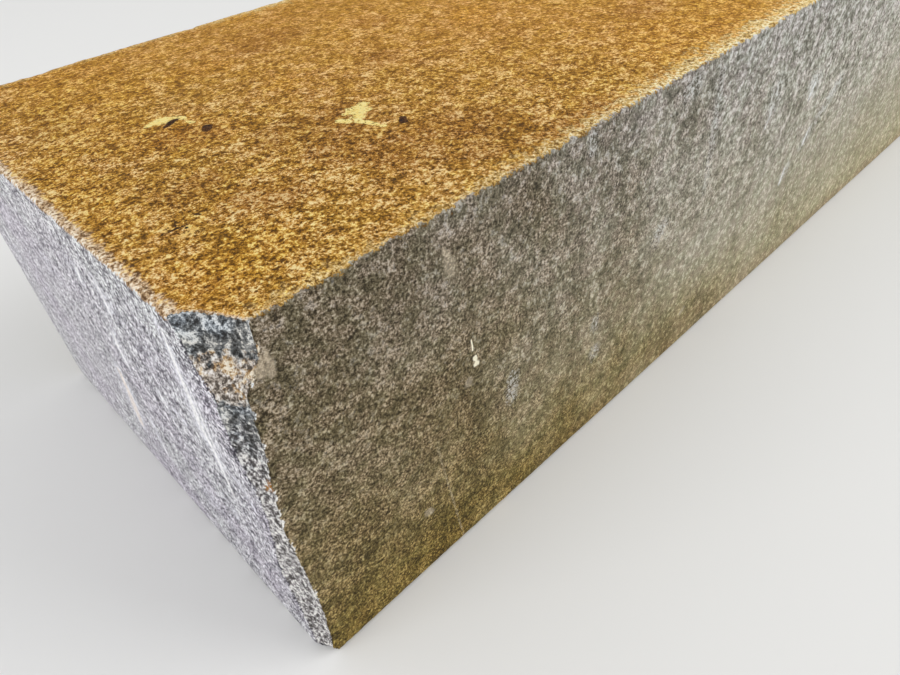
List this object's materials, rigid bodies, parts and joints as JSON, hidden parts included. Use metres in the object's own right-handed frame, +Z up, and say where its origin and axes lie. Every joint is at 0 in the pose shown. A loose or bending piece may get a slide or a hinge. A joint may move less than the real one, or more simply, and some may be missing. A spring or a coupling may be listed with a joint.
{
  "type": "granite kerb stone",
  "caption": "Long rectangular granite kerb stone lying flat, with a weathered ochre top, grey sawn sides and one upright corner broken away.",
  "frame": {"origin": "middle of the underside, on the ground", "axes": "+X along the length, away from the end with the broken corner; +Y across the width, away from the front face; +Z up"},
  "size_m": [1, 0.3, 0.197],
  "materials": {
    "granite": "rough, grey, with an ochre weathered top"
  },
  "bodies": {
    "root": {"kerb_stone": "granite"}
  },
  "joints": []
}
